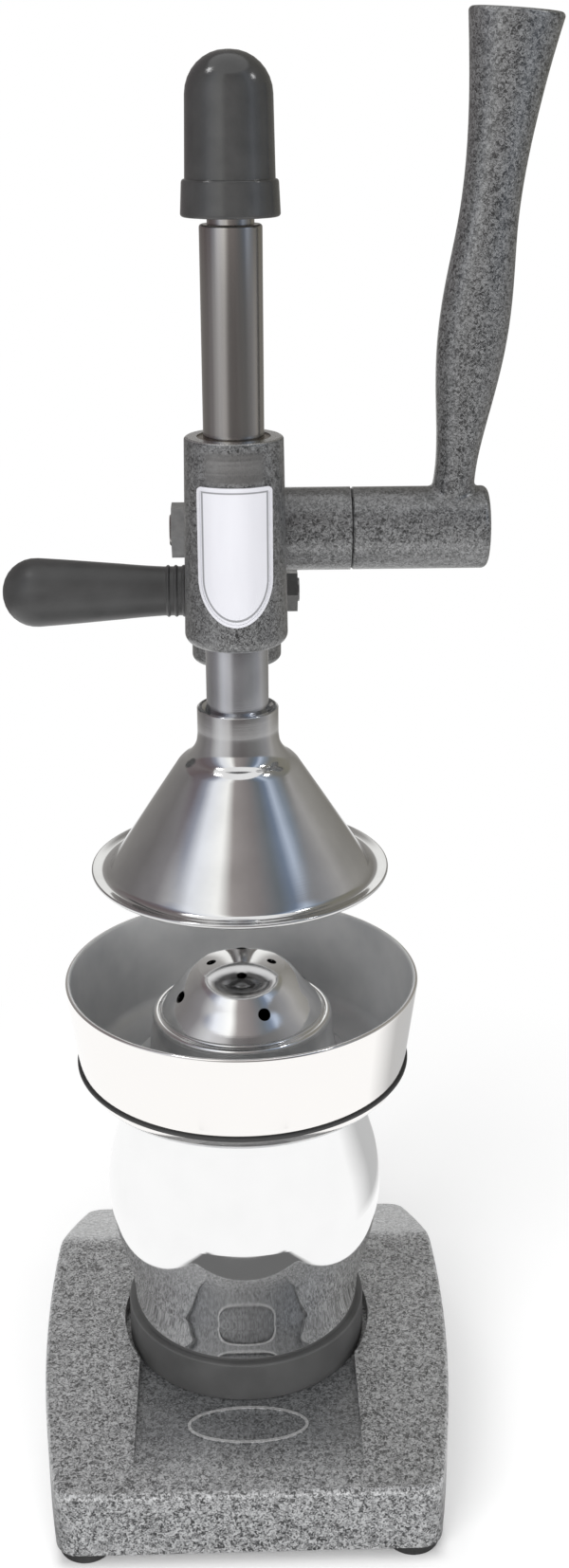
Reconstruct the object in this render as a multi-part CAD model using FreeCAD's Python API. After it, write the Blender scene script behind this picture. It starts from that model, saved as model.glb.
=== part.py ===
"""Hand lever citrus press: base, rear post, head with rack and pinion, press cone, strainer, bowl and pot.

Lengths are millimetres. Shapes are drawn with the ram's axis at x = y = 0 and the table at z = 0,
with +X to the operator's right and -Y towards the operator. The last section moves every piece so
that the origin lies on the table under the middle of the whole object.
"""
import FreeCAD, Part
import math
import os

# Clearances, all on the radius, and a length that reaches past every piece
FIT = 0.04
SEAT = 0.02
FAR = 1000.0

# Ram, its rack and the lever's gear
RAM_R = 14.0
RAM_TOP = 676.0
RAM_FOOT = 390.0
RAM_NECK = 628.6
CAP_BOTTOM = 631.5
RAM_TRAVEL = 70.0
MODULE = 2.5
TEETH = 18
PRESSURE_ANGLE = math.radians(20)
BACKLASH = 0.3
RACK_TIP_Y = 11.5
ADDENDUM = MODULE
DEDENDUM = 1.25 * MODULE
PITCH = math.pi * MODULE
PITCH_R = MODULE * TEETH / 2
GEAR_HALF_WIDTH = 10.0

# Lever shaft, turning in the head
SHAFT_Y = RACK_TIP_Y - ADDENDUM + PITCH_R
SHAFT_Z = 485.3
SHAFT_R = 9.0
SHAFT_THREAD_R = 8.0
SHAFT_WASHER_X = -22.0
SHAFT_WASHER_THICK = 2.0
SHAFT_NUT_END_X = -30.5
SHAFT_END_X = 101.0
KEY_HALF_WIDTH = 3.0
KEY_DEPTH = 3.5
KEY_PROUD = 2.5

# Head casting
HEAD_TOP = 536.0
HEAD_BOTTOM = 438.5
HEAD_TOP_R = 22.9
HEAD_BOTTOM_R = 24.4
HEAD_CORNER = 5.0
GEAR_CASE_R = 33.0
GEAR_CASE_HALF_WIDTH = 22.0
GEAR_POCKET_R = 26.5
GEAR_POCKET_END_X = 13.0
COVER_R = 28.5
COVER_INNER_X = -15.0
COVER_OUTER_X = -20.0
RING_THICK = 1.2
BOSS_R = 19.9
BOSS_END_X = 55.5
GUIDE_BUSH_R = 17.0
GUIDE_BUSH_LENGTH = 20.5
LEFT_BUSH_R = 12.0
RIGHT_BUSH_R = 13.0
BUSH_GAP = 0.5
ARM_HALF_WIDTH = 15.0

# Post and the clamp that holds the head on it
POST_Y = 112.0
POST_R = 15.0
POST_TOP = 503.0
POST_SHOULDER = 30.0
POST_THREAD_R = 10.0
POST_WASHER_THICK = 2.5
CLAMP_R = 24.0
CLAMP_BOTTOM = 396.0
CLAMP_TOP = 498.0
EAR_HALF_WIDTH = 12.0
EAR_END_Y = 150.0
CLAMP_SCREW_Y = 142.0
CLAMP_SCREW_Z = (420.0, 470.0)
CLAMP_SCREW_R = 4.0

# Side grip
GRIP_Y = 75.0
GRIP_Z = 443.5
GRIP_END_X = -119.4
GRIP_ROOT_X = -24.0
GRIP_BORE_END_X = -76.0
STUD_R = 6.0
CROSS_BOSS_R = 13.0
CROSS_BOSS_END_X = 24.0
GRIP_WASHER_THICK = 1.5
GRIP_NUT_THICK = 6.0

# Lever
HUB_R = 19.8
HUB_START_X = 56.0
HUB_END_X = 121.8
LEVER_TOP = 715.9
LEVER_PIN_X = 76.0
LEVER_PIN_R = 3.5

# Base casting and its feet
BASE_BOTTOM = 8.0
BASE_FRONT_Y = -130.0
BASE_REAR_Y = 142.0
BASE_FRONT_HALF = 94.5
BASE_MID_HALF = 109.5
BASE_REAR_HALF = 98.0
BASE_MID_Y = 20.0
BASE_FRONT_TOP = 44.2
BASE_CREST_Y = 64.0
BASE_CREST = 57.0
BASE_REAR_TOP = 24.0
BASE_WALL = 7.0
SEAT_Z = 45.0
WELL_R = 67.0
CHANNEL_HALF = 57.5
POST_BOSS_R = 27.0
POST_BOSS_TOP = 72.0
POST_BOSS_UNDERSIDE = 19.0
FOOT_X = 82.0
FOOT_Y = (-113.5, 110.0)
FOOT_R = 14.5
FOOT_SCREW_R = 2.5
FOOT_POCKET_TOP = 4.5

# Sleeve and press cone
SLEEVE_R = 15.0
CONE_NECK_R = 19.7
CONE_NECK_TOP = 406.0
CONE_WEB_BOTTOM = 377.5
CONE_WALL = 3.2
CONE_RIM_R = 73.9
CONE_RIM_Z = 322.8
CONE_SCREW_R = 8.0
CONE_WASHER_THICK = 2.5

# Juice bowl, strainer and pot
BOWL_RIM_R = 90.0
BOWL_RIM = 262.2
BOWL_WALL = 2.6
BOWL_FOOT_R = 84.3
BOWL_FLOOR = 207.8
BOWL_UNDERSIDE = 205.1
BAND_TOP = 217.7
BAND_BOTTOM = 215.0
STRAINER_R = 58.0
STRAINER_WALL = 1.5
STRAINER_TOP = 270.3
POT_RIM = 205.0
POT_FLOOR = 48.0
POT_FOOT_R = 60.4
POT_FOOT_TOP = 67.7
POT_WALL = 1.8
POT_RING_R = 64.0


def vec(x, y, z):
    return FreeCAD.Vector(x, y, z)


def box(x0, x1, y0, y1, z0, z1):
    return Part.makeBox(x1 - x0, y1 - y0, z1 - z0, vec(x0, y0, z0))


def round_z(radius, z0, z1, x=0.0, y=0.0):
    return Part.makeCylinder(radius, z1 - z0, vec(x, y, z0))


def round_x(radius, x0, x1, y, z):
    return Part.makeCylinder(radius, x1 - x0, vec(x0, y, z), vec(1, 0, 0))


def on_shaft(radius, x0, x1):
    return round_x(radius, x0, x1, SHAFT_Y, SHAFT_Z)


def path(place, start, steps):
    """Closed wire from a start point: a step is a point, or a pair (middle, end) for an arc, or a list of
    points for a smooth curve. place turns a flat point into a point in space."""
    edges = []
    here = start
    for step in steps + [start]:
        if isinstance(step, list):
            curve = Part.BSplineCurve()
            curve.interpolate([place(*p) for p in [here] + step])
            edges.append(curve.toShape())
            here = step[-1]
        elif isinstance(step[0], tuple):
            edges.append(Part.Arc(place(*here), place(*step[0]), place(*step[1])).toShape())
            here = step[1]
        elif step != here:
            edges.append(Part.LineSegment(place(*here), place(*step)).toShape())
            here = step
    return Part.Wire(edges)


def quarter(start, corner, end):
    """Arc step that rounds a square corner, from a start the path is already at."""
    pull = 1 - math.sqrt(0.5)
    middle = tuple(c + pull * (a + b - 2 * c) for a, c, b in zip(start, corner, end))
    return middle, end


def dome(edge_r, edge, crown):
    """Arc step for part of a ball centred on the turning axis, from its edge to its crown on the axis."""
    rise = crown - edge
    ball_r = (edge_r ** 2 + rise ** 2) / (2 * rise)
    middle = crown - ball_r + math.copysign(math.sqrt(ball_r ** 2 - edge_r ** 2 / 4), ball_r)
    return (edge_r / 2, middle), (0, crown)


def turned_z(start, steps):
    """Solid turned about the ram's axis from an outline of (radius, height) points."""
    face = Part.Face(path(lambda r, z: vec(r, 0, z), start, steps))
    return face.revolve(vec(0, 0, 0), vec(0, 0, 1), 360)


def turned_x(y, z, start, steps):
    """Solid turned about a line along X from an outline of (x, radius) points."""
    face = Part.Face(path(lambda x, r: vec(x, y, z + r), start, steps))
    return face.revolve(vec(0, y, z), vec(1, 0, 0), 360)


def plate_x(half_width, start, steps):
    """Solid of an outline of (y, z) points, as wide as twice half_width about the ram's plane."""
    face = Part.Face(path(lambda y, z: vec(-half_width, y, z), start, steps))
    return face.extrude(vec(2 * half_width, 0, 0))


def hexagon(across_flats, place, direction, thickness):
    """Six-sided prism: place turns two flat coordinates into a point in space."""
    corner = across_flats / math.sqrt(3)
    angles = [math.radians(60 * i) for i in range(7)]
    points = [place(corner * math.cos(a), corner * math.sin(a)) for a in angles]
    return Part.Face(Part.makePolygon(points)).extrude(direction * thickness)


def hexagon_x(across_flats, x0, x1, y, z):
    return hexagon(across_flats, lambda a, b: vec(x0, y + a, z + b), vec(1, 0, 0), x1 - x0)


def hexagon_z(across_flats, z0, z1, x=0.0, y=0.0):
    return hexagon(across_flats, lambda a, b: vec(x + a, y + b, z0), vec(0, 0, 1), z1 - z0)


def rounded(solid, radius, edges):
    return solid.makeFillet(radius, edges).Solids[0]


def edges_above(solid, z):
    return [e for e in solid.Edges if e.BoundBox.ZMin > z]


def upright_edges(solid):
    return [e for e in solid.Edges if abs(e.tangentAt(e.FirstParameter).z) > 0.99]


def round_edges(solid, radius, x=None):
    """Full circles of one radius, at one x where it is given."""
    circles = [e for e in solid.Edges if e.Closed and isinstance(e.Curve, Part.Circle)]
    circles = [e for e in circles if abs(e.Curve.Radius - radius) < SEAT]
    return [e for e in circles if x is None or abs(e.Curve.Center.x - x) < SEAT]


# Base, feet and post
def base_outline(inset):
    """Plan of the base: straight front and rear, bowed sides."""
    front = BASE_FRONT_Y + inset
    rear = BASE_REAR_Y - inset
    half_front = BASE_FRONT_HALF - inset
    half_mid = BASE_MID_HALF - inset
    half_rear = BASE_REAR_HALF - inset
    return path(lambda x, y: vec(x, y, BASE_BOTTOM), (-half_front, front), [
        (half_front, front),
        ((half_mid, BASE_MID_Y), (half_rear, rear)),
        (-half_rear, rear),
        ((-half_mid, BASE_MID_Y), (-half_front, front)),
    ])


def base_side(drop, crest):
    """Side view of the base as wide as it takes: low front, crest behind the pot, slope to the rear."""
    return plate_x(2 * BASE_MID_HALF, (BASE_FRONT_Y, BASE_BOTTOM), [
        (BASE_FRONT_Y, BASE_FRONT_TOP - drop),
        (BASE_CREST_Y, crest),
        (BASE_REAR_Y, BASE_REAR_TOP - drop),
        (BASE_REAR_Y, BASE_BOTTOM),
    ])


def foot_places():
    return [(side * FOOT_X, y) for y in FOOT_Y for side in (-1, 1)]


def base_casting():
    corner_r = 12.0
    crest_r = 30.0
    top_edge_r = 3.0
    tall = 80.0
    blank = Part.Face(base_outline(0)).extrude(vec(0, 0, tall))
    blank = rounded(blank, corner_r, upright_edges(blank))
    side = base_side(0, BASE_CREST)
    side = rounded(side, crest_r, edges_above(side, BASE_CREST - 0.5))
    body = blank.common(side).Solids[0]
    top_edges = edges_above(body, BASE_REAR_TOP - 1)
    across_crest = [e for e in edges_above(body, BASE_CREST - 5) if e.BoundBox.XLength > BASE_MID_HALF]
    body = rounded(body, top_edge_r, [e for e in top_edges if not any(e.isSame(c) for c in across_crest)])

    inside = Part.Face(base_outline(BASE_WALL)).extrude(vec(0, 0, tall))
    inside = inside.common(base_side(BASE_WALL, SEAT_Z - BASE_WALL))
    post_boss = round_z(POST_BOSS_R, POST_BOSS_UNDERSIDE, POST_BOSS_TOP, 0, POST_Y)
    post_boss = rounded(post_boss, 2.0, edges_above(post_boss, POST_BOSS_TOP - 1))
    inside = inside.cut(post_boss)
    foot_boss_r = 12.0
    for x, y in foot_places():
        inside = inside.cut(round_z(foot_boss_r, BASE_BOTTOM, tall, x, y))

    well = round_z(WELL_R, SEAT_Z, tall)
    channel = box(-CHANNEL_HALF, CHANNEL_HALF, 2 * BASE_FRONT_Y, 0, SEAT_Z, tall)
    body = body.cut(well.fuse(channel)).cut(inside).fuse(post_boss)
    body = body.cut(round_z(POST_R + SEAT, POST_SHOULDER, tall, 0, POST_Y))
    body = body.cut(round_z(POST_THREAD_R + SEAT, BASE_BOTTOM, tall, 0, POST_Y))
    screw_hole_top = 26.0
    for x, y in foot_places():
        body = body.cut(round_z(FOOT_SCREW_R + SEAT, BASE_BOTTOM, screw_hole_top, x, y))
    return body.fuse(front_oval()).removeSplitter()


def front_oval():
    """Plain raised oval bead on the floor of the front channel."""
    half_x = 31.0
    half_y = 13.5
    bead = 1.6
    sunk = 0.5
    height = 1.4
    centre = vec(0, -82.5, SEAT_Z - sunk)

    def oval(inset):
        edge = Part.Ellipse(centre, half_x - inset, half_y - inset).toShape()
        return Part.Face(Part.Wire(edge)).extrude(vec(0, 0, height))

    return oval(0).cut(oval(bead))


def rubber_feet():
    hole_r = FOOT_SCREW_R + SEAT
    pocket_r = 6.2
    draft = 0.8
    edge = 1.2
    tread_r = FOOT_R - draft
    foot = turned_z((hole_r, BASE_BOTTOM), [
        (FOOT_R, BASE_BOTTOM),
        (tread_r, edge),
        quarter((tread_r, edge), (tread_r, 0), (tread_r - edge, 0)),
        (pocket_r, 0),
        (pocket_r, FOOT_POCKET_TOP),
        (hole_r, FOOT_POCKET_TOP),
    ])
    return Part.makeCompound([foot.translated(vec(x, y, 0)) for x, y in foot_places()])


def foot_screws():
    head_r = 5.0
    head_rim = 3.2
    head_bottom = 1.6
    shank_top = 24.0
    crown_middle, crown = dome(head_r, head_rim, head_bottom)
    screw = turned_z(crown, [
        (crown_middle, (head_r, head_rim)),
        (head_r, FOOT_POCKET_TOP),
        (FOOT_SCREW_R, FOOT_POCKET_TOP),
        (FOOT_SCREW_R, shank_top),
        (0, shank_top),
    ])
    return Part.makeCompound([screw.translated(vec(x, y, 0)) for x, y in foot_places()])


def rear_post():
    thread_end = 9.0
    edge = 1.0
    post = turned_z((0, thread_end), [
        (POST_THREAD_R, thread_end),
        (POST_THREAD_R, POST_SHOULDER),
        (POST_R, POST_SHOULDER),
        (POST_R, POST_TOP - edge),
        (POST_R - edge, POST_TOP),
        (0, POST_TOP),
    ])
    return post.translated(vec(0, POST_Y, 0))


def post_washer():
    washer_r = 22.0
    ring = round_z(washer_r, POST_BOSS_UNDERSIDE - POST_WASHER_THICK, POST_BOSS_UNDERSIDE, 0, POST_Y)
    return ring.cut(round_z(POST_THREAD_R + SEAT, 0, FAR, 0, POST_Y))


def post_nut():
    across_flats = 30.0
    thick = 6.0
    top = POST_BOSS_UNDERSIDE - POST_WASHER_THICK
    nut = hexagon_z(across_flats, top - thick, top, 0, POST_Y)
    return nut.cut(round_z(POST_THREAD_R + SEAT, 0, FAR, 0, POST_Y))


# Head, its bushes and covers, badge and grip
def head_barrel():
    edge = 1.5
    low = (HEAD_BOTTOM_R - HEAD_CORNER, HEAD_BOTTOM)
    return turned_z((0, HEAD_BOTTOM), [
        low,
        quarter(low, (HEAD_BOTTOM_R, HEAD_BOTTOM), (HEAD_BOTTOM_R, HEAD_BOTTOM + HEAD_CORNER)),
        (HEAD_TOP_R, HEAD_TOP - edge),
        quarter((HEAD_TOP_R, HEAD_TOP - edge), (HEAD_TOP_R, HEAD_TOP), (HEAD_TOP_R - edge, HEAD_TOP)),
        (0, HEAD_TOP),
    ])


def gear_case():
    """Drum round the gear with the shaft's long boss on its right."""
    edge = 2.5
    boss_root_r = 2.0
    drum = on_shaft(GEAR_CASE_R, -GEAR_CASE_HALF_WIDTH, GEAR_CASE_HALF_WIDTH)
    drum = rounded(drum, edge, round_edges(drum, GEAR_CASE_R))
    drum = drum.fuse(on_shaft(BOSS_R, 0, BOSS_END_X))
    return rounded(drum, boss_root_r, round_edges(drum, BOSS_R, GEAR_CASE_HALF_WIDTH))


def head_arm():
    """Web from the gear case back to the clamp, with the cross boss that holds the grip's stud."""
    edge = 3.0
    boss_root_r = 2.0
    front_y = 15.0
    front_bottom = HEAD_BOTTOM + 2.5
    front_top = 516.0
    web = plate_x(ARM_HALF_WIDTH, (front_y, front_top), [
        (SHAFT_Y, front_top),
        (POST_Y, CLAMP_TOP - 6),
        (POST_Y, CLAMP_BOTTOM + 4),
        (POST_Y - 20, CLAMP_BOTTOM + 4),
        (SHAFT_Y + 18, front_bottom),
        (front_y, front_bottom),
    ])
    web = rounded(web, edge, [e for e in web.Edges if e.BoundBox.XLength < SEAT])
    web = web.fuse(round_x(CROSS_BOSS_R, -CROSS_BOSS_END_X, CROSS_BOSS_END_X, GRIP_Y, GRIP_Z))
    roots = [e for x in (-ARM_HALF_WIDTH, ARM_HALF_WIDTH) for e in round_edges(web, CROSS_BOSS_R, x)]
    return rounded(web, boss_root_r, roots)


def post_clamp():
    """Split sleeve round the post with two ears that the clamp screws draw together."""
    edge = 3.0
    ear_edge = 4.0
    ear_inset = 10.0
    sleeve = round_z(CLAMP_R, CLAMP_BOTTOM, CLAMP_TOP, 0, POST_Y)
    sleeve = rounded(sleeve, edge, round_edges(sleeve, CLAMP_R))
    low = CLAMP_BOTTOM + ear_inset
    high = CLAMP_TOP - ear_inset
    ears = box(-EAR_HALF_WIDTH, EAR_HALF_WIDTH, POST_Y, EAR_END_Y, low, high)
    ends = [e for e in ears.Edges if e.BoundBox.YMin > EAR_END_Y - 1 and e.BoundBox.XLength > 1]
    return sleeve.fuse(rounded(ears, ear_edge, ends))


def head_casting():
    body = head_barrel().multiFuse([gear_case(), head_arm(), post_clamp()])
    ram_bore_r = 15.6
    slit = 1.0
    groove = 0.1
    screw_gap = 0.2
    cutters = [
        round_z(ram_bore_r, HEAD_BOTTOM - 1, HEAD_TOP + 1),
        round_z(GUIDE_BUSH_R + SEAT, HEAD_TOP - GUIDE_BUSH_LENGTH - BUSH_GAP, HEAD_TOP + 1),
        round_z(GUIDE_BUSH_R + SEAT, HEAD_BOTTOM - 1, HEAD_BOTTOM + GUIDE_BUSH_LENGTH + BUSH_GAP),
        on_shaft(GEAR_POCKET_R, COVER_INNER_X - 1, GEAR_POCKET_END_X),
        on_shaft(COVER_R, -2 * GEAR_CASE_HALF_WIDTH, COVER_INNER_X),
        on_shaft(COVER_R + RING_THICK, COVER_OUTER_X - RING_THICK - groove, COVER_OUTER_X),
        on_shaft(RIGHT_BUSH_R + SEAT, 0, BOSS_END_X + 1),
        round_z(POST_R + SEAT, 0, FAR, 0, POST_Y),
        box(-slit, slit, POST_Y, FAR, 0, FAR),
        round_x(STUD_R + SEAT, -FAR, FAR, GRIP_Y, GRIP_Z),
    ]
    for z in CLAMP_SCREW_Z:
        cutters.append(round_x(CLAMP_SCREW_R + screw_gap, -FAR, FAR, CLAMP_SCREW_Y, z))
    for cutter in cutters:
        body = body.cut(cutter)
    return body.removeSplitter()


def guide_bush(z0):
    ring = round_z(GUIDE_BUSH_R, z0, z0 + GUIDE_BUSH_LENGTH)
    return ring.cut(round_z(RAM_R + FIT, 0, FAR))


def gear_cover():
    hub_r = 16.0
    plate = on_shaft(COVER_R - SEAT, COVER_OUTER_X, COVER_INNER_X)
    hub = on_shaft(hub_r, COVER_OUTER_X, -GEAR_HALF_WIDTH - BUSH_GAP)
    return plate.fuse(hub).cut(on_shaft(LEFT_BUSH_R + SEAT, -FAR, FAR)).removeSplitter()


def cover_ring():
    """Spring ring that snaps into the groove outside the gear cover, open at the bottom."""
    gap = 4.0
    inner_r = COVER_R - 2.2
    ring = on_shaft(COVER_R + RING_THICK - FIT, COVER_OUTER_X - RING_THICK, COVER_OUTER_X)
    ring = ring.cut(on_shaft(inner_r, -FAR, FAR))
    return ring.cut(box(-FAR, 0, SHAFT_Y - gap, SHAFT_Y + gap, 0, SHAFT_Z))


def shaft_bush_left():
    bush = on_shaft(LEFT_BUSH_R, COVER_OUTER_X - BUSH_GAP, -GEAR_HALF_WIDTH - BUSH_GAP)
    return bush.cut(on_shaft(SHAFT_R + FIT, -FAR, FAR))


def shaft_bush_right():
    flange_r = 17.0
    flange = on_shaft(flange_r, GEAR_HALF_WIDTH + BUSH_GAP, GEAR_POCKET_END_X)
    body = on_shaft(RIGHT_BUSH_R, GEAR_HALF_WIDTH + BUSH_GAP, BOSS_END_X - BUSH_GAP)
    return flange.fuse(body).cut(on_shaft(SHAFT_R + FIT, -FAR, FAR)).removeSplitter()


def clamp_screws():
    head_r = 6.5
    head_end = EAR_HALF_WIDTH + 8.0
    shank_end = -EAR_HALF_WIDTH - 8.0
    socket = 6.0
    socket_depth = 4.0
    screws = []
    for z in CLAMP_SCREW_Z:
        head = round_x(head_r, EAR_HALF_WIDTH, head_end, CLAMP_SCREW_Y, z)
        shank = round_x(CLAMP_SCREW_R, shank_end, EAR_HALF_WIDTH, CLAMP_SCREW_Y, z)
        key = hexagon_x(socket, head_end - socket_depth, head_end + 1, CLAMP_SCREW_Y, z)
        screws.append(head.fuse(shank).cut(key).removeSplitter())
    return Part.makeCompound(screws)


def clamp_nuts():
    across_flats = 13.0
    thick = 6.5
    nuts = []
    for z in CLAMP_SCREW_Z:
        nut = hexagon_x(across_flats, -EAR_HALF_WIDTH - thick, -EAR_HALF_WIDTH, CLAMP_SCREW_Y, z)
        nuts.append(nut.cut(round_x(CLAMP_SCREW_R + SEAT, -FAR, FAR, CLAMP_SCREW_Y, z)))
    return Part.makeCompound(nuts)


def badge_plate():
    """Blank plate bent round the front of the head: square top, oval foot, raised rim."""
    half = 17.2
    top = 516.5
    waist = 474.3
    bottom = 452.0
    corner = 2.4
    thick = 0.9
    rim = 1.3
    sunk = 0.35
    front = -2 * HEAD_BOTTOM_R
    slope = (HEAD_BOTTOM_R - HEAD_TOP_R) / (HEAD_TOP - HEAD_BOTTOM)

    def barrel(offset):
        low = HEAD_BOTTOM_R + offset + slope * HEAD_CORNER
        high = low - slope * (HEAD_TOP - HEAD_BOTTOM)
        return Part.makeCone(low, high, HEAD_TOP - HEAD_BOTTOM, vec(0, 0, HEAD_BOTTOM))

    def outline(inset):
        """Bar with the plate's outline in front view, drawn in by the inset."""
        side = half - inset
        panel = box(-side, side, front, 0, waist, top - inset)
        corners = [e for e in edges_above(panel, top - inset - SEAT) if e.BoundBox.XLength < SEAT]
        panel = rounded(panel, corner - inset / 2, corners)
        middle = vec(0, front, waist)
        foot = Part.Ellipse(vec(0, front, bottom + inset), vec(side, front, waist), middle)
        foot = Part.Face(Part.Wire(foot.toShape())).extrude(vec(0, -front, 0))
        return panel.fuse(foot)

    plate = barrel(thick).cut(barrel(0.0)).common(outline(0))
    return plate.cut(outline(rim).cut(barrel(thick - sunk))).removeSplitter()


def grip():
    """Moulded handle that swells towards its round end, with three ribs at its root."""
    root_r = 12.6
    rib_r = 13.3
    rib_pitch = 4.0
    end_r = 18.8
    ribs = []
    for i in range(3):
        x = GRIP_ROOT_X - rib_pitch * (i + 0.4)
        ribs += [(x, root_r), ((x - rib_pitch / 4, rib_r), (x - rib_pitch / 2, root_r))]
    ball_x = GRIP_END_X + end_r
    ball_middle = (ball_x - end_r * math.sqrt(0.5), end_r * math.sqrt(0.5))
    steps = [(GRIP_ROOT_X, root_r)] + ribs + [
        [(-50.0, 13.4), (-75.0, 15.8), (ball_x, end_r)],
        (ball_middle, (GRIP_END_X, 0)),
        (GRIP_BORE_END_X, 0),
        (GRIP_BORE_END_X, STUD_R + SEAT),
    ]
    return turned_x(GRIP_Y, GRIP_Z, (GRIP_ROOT_X, STUD_R + SEAT), steps)


def grip_stud():
    start = GRIP_BORE_END_X + 1.0
    end = CROSS_BOSS_END_X + GRIP_WASHER_THICK + GRIP_NUT_THICK + 1.0
    return round_x(STUD_R, start, end, GRIP_Y, GRIP_Z)


def grip_washer():
    washer_r = 11.5
    ring = round_x(washer_r, CROSS_BOSS_END_X, CROSS_BOSS_END_X + GRIP_WASHER_THICK, GRIP_Y, GRIP_Z)
    return ring.cut(round_x(STUD_R + SEAT, 0, FAR, GRIP_Y, GRIP_Z))


def grip_nut():
    across_flats = 20.0
    start = CROSS_BOSS_END_X + GRIP_WASHER_THICK
    nut = hexagon_x(across_flats, start, start + GRIP_NUT_THICK, GRIP_Y, GRIP_Z)
    return nut.cut(round_x(STUD_R + SEAT, 0, FAR, GRIP_Y, GRIP_Z))


# Ram and what it carries
def ram():
    """Round bar with a tapped foot, a flat and rack teeth on its back and a turned neck under the cap."""
    tap_depth = 40.0
    edge = 1.0
    neck_r = 10.5
    neck_edge = 1.4
    bar = turned_z((0, RAM_FOOT), [
        (RAM_R - edge, RAM_FOOT),
        (RAM_R, RAM_FOOT + edge),
        (RAM_R, RAM_NECK - neck_edge),
        quarter((RAM_R, RAM_NECK - neck_edge), (RAM_R, RAM_NECK), (RAM_R - neck_edge, RAM_NECK)),
        (neck_r, RAM_NECK),
        (neck_r, CAP_BOTTOM),
        (RAM_R, CAP_BOTTOM),
        (RAM_R, RAM_TOP - edge),
        (RAM_R - edge, RAM_TOP),
        (0, RAM_TOP),
    ])
    bar = bar.cut(round_z(CONE_SCREW_R + SEAT, RAM_FOOT - 1, RAM_FOOT + tap_depth))
    gaps_below = 2
    gaps_above = math.ceil(RAM_TRAVEL / PITCH) + 2
    low = SHAFT_Z - (gaps_below + 0.5) * PITCH
    high = SHAFT_Z + (gaps_above + 0.5) * PITCH
    bar = bar.cut(box(-RAM_R, RAM_R, RACK_TIP_Y, 2 * RAM_R, low, high))
    pitch_y = RACK_TIP_Y - ADDENDUM
    root_y = pitch_y - DEDENDUM
    open_y = RACK_TIP_Y + 1.0
    half = PITCH / 4 + BACKLASH / 2
    slope = math.tan(PRESSURE_ANGLE)
    half_root = half - slope * (pitch_y - root_y)
    half_open = half + slope * (open_y - pitch_y)
    gaps = []
    for i in range(-gaps_below, gaps_above + 1):
        z = SHAFT_Z + i * PITCH
        gaps.append(plate_x(RAM_R, (open_y, z - half_open), [
            (open_y, z + half_open),
            (root_y, z + half_root),
            (root_y, z - half_root),
        ]))
    return bar.cut(Part.makeCompound(gaps))


def ram_cap():
    """Rubber cap pushed on the ram's upper end: domed, slightly tapered, with a thick lip."""
    lip_top = 647.0
    shoulder = 695.4
    shoulder_r = 11.4
    top = 699.4
    bore_r = RAM_R + SEAT
    return turned_z((bore_r, CAP_BOTTOM), [
        (20.8, CAP_BOTTOM),
        ((21.8, CAP_BOTTOM + 0.5), (22.1, CAP_BOTTOM + 1.6)),
        (21.4, lip_top - 1.6),
        ((21.0, lip_top - 0.5), (20.0, lip_top)),
        (18.8, 682.0),
        ((16.8, 689.5), (shoulder_r, shoulder)),
        dome(shoulder_r, shoulder, top),
        (0, RAM_TOP),
        (bore_r, RAM_TOP),
    ])


def stop_sleeve():
    """Aluminium sleeve on the ram's lower end: fits the cone's neck and stops the ram at the top."""
    top = HEAD_BOTTOM - 0.5
    edge = 1.0
    return turned_z((RAM_R + SEAT, RAM_FOOT), [
        (SLEEVE_R, RAM_FOOT),
        (SLEEVE_R, top - edge),
        (SLEEVE_R - edge, top),
        (RAM_R + SEAT, top),
    ])


def press_cone():
    """Turned cone, open below, with a thick neck for the sleeve and a thin turned-up rim."""
    edge = 0.6
    mouth_r = 17.4
    skirt_r = 62.8
    skirt_foot = 326.6
    brim_r = 68.3
    neck = (CONE_NECK_R - edge, CONE_NECK_TOP)
    return turned_z((mouth_r, CONE_NECK_TOP), [
        neck,
        quarter(neck, (CONE_NECK_R, CONE_NECK_TOP), (CONE_NECK_R, CONE_NECK_TOP - edge)),
        (CONE_NECK_R, 393.0),
        ((21.6, 386.6), (28.4, 379.6)),
        (skirt_r, skirt_foot),
        ((64.9, 323.9), (brim_r, 322.6)),
        (CONE_RIM_R - 1.0, CONE_RIM_Z + 0.9),
        ((CONE_RIM_R, CONE_RIM_Z), (CONE_RIM_R - 0.9, CONE_RIM_Z - 1.2)),
        (brim_r, skirt_foot - 7.2),
        ((64.6, skirt_foot - 7.2), (62.0, skirt_foot - 5.0)),
        (skirt_r - CONE_WALL, skirt_foot - 1.4),
        (26.3, CONE_WEB_BOTTOM),
        (CONE_SCREW_R + SEAT, CONE_WEB_BOTTOM),
        (CONE_SCREW_R + SEAT, RAM_FOOT),
        (SLEEVE_R + SEAT, RAM_FOOT),
        (SLEEVE_R + SEAT, CONE_NECK_TOP - 3.0),
    ])


def cone_washer():
    washer_r = 16.0
    ring = round_z(washer_r, CONE_WEB_BOTTOM - CONE_WASHER_THICK, CONE_WEB_BOTTOM)
    return ring.cut(round_z(CONE_SCREW_R + SEAT, 0, FAR))


def cone_screw():
    across_flats = 24.0
    head_thick = 9.0
    shank_top = RAM_FOOT + 35.0
    head_top = CONE_WEB_BOTTOM - CONE_WASHER_THICK
    head = hexagon_z(across_flats, head_top - head_thick, head_top)
    return head.fuse(round_z(CONE_SCREW_R, head_top, shank_top)).removeSplitter()


# Lever, its shaft and gear
def key_block(extra):
    """Key between shaft and gear, or the slot for it where extra room is given."""
    half = KEY_HALF_WIDTH + extra
    low = SHAFT_Z + SHAFT_R - KEY_DEPTH - extra
    high = SHAFT_Z + SHAFT_R + KEY_PROUD + extra
    length = GEAR_HALF_WIDTH - BUSH_GAP + extra
    return box(-length, length, SHAFT_Y - half, SHAFT_Y + half, low, high)


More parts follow.
